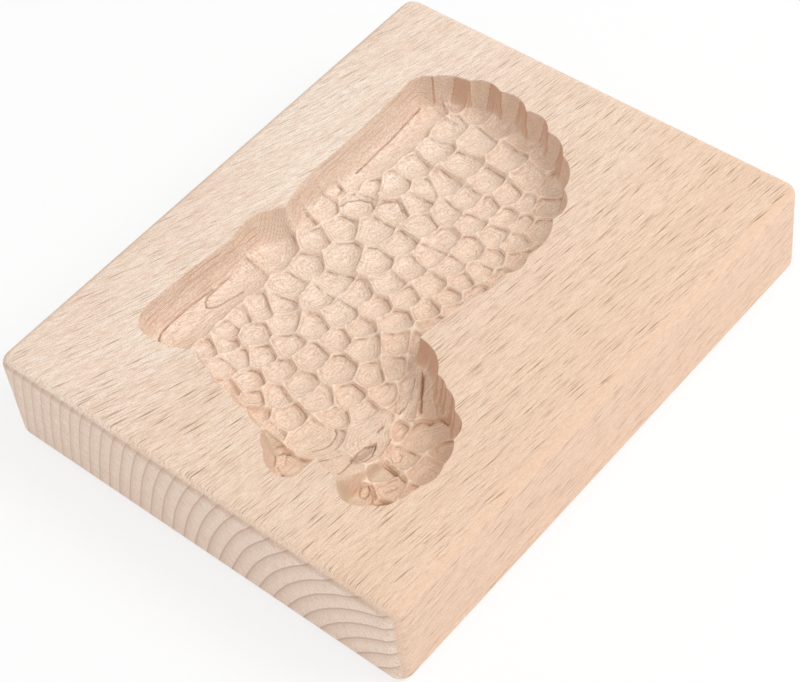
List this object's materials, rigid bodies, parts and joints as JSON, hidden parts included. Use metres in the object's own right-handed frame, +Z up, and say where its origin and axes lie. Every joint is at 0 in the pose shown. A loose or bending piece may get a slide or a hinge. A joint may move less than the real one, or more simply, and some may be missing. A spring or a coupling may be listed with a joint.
{
  "type": "wooden cookie mould",
  "caption": "Rectangular beech press mould with softened edges and a deep carving of a lying woolly lamb in its face, for shaping dough.",
  "frame": {"origin": "middle of the flat underside, under the centre of the board's rectangle", "axes": "+X along the board's length towards the lamb's head, +Y across the board from the lamb's feet to its back, +Z up through the carved face"},
  "size_m": [0.1, 0.08, 0.018],
  "materials": {
    "beech": "bare, sanded, unoiled"
  },
  "bodies": {
    "root": {"mould_board": "beech"}
  },
  "joints": []
}
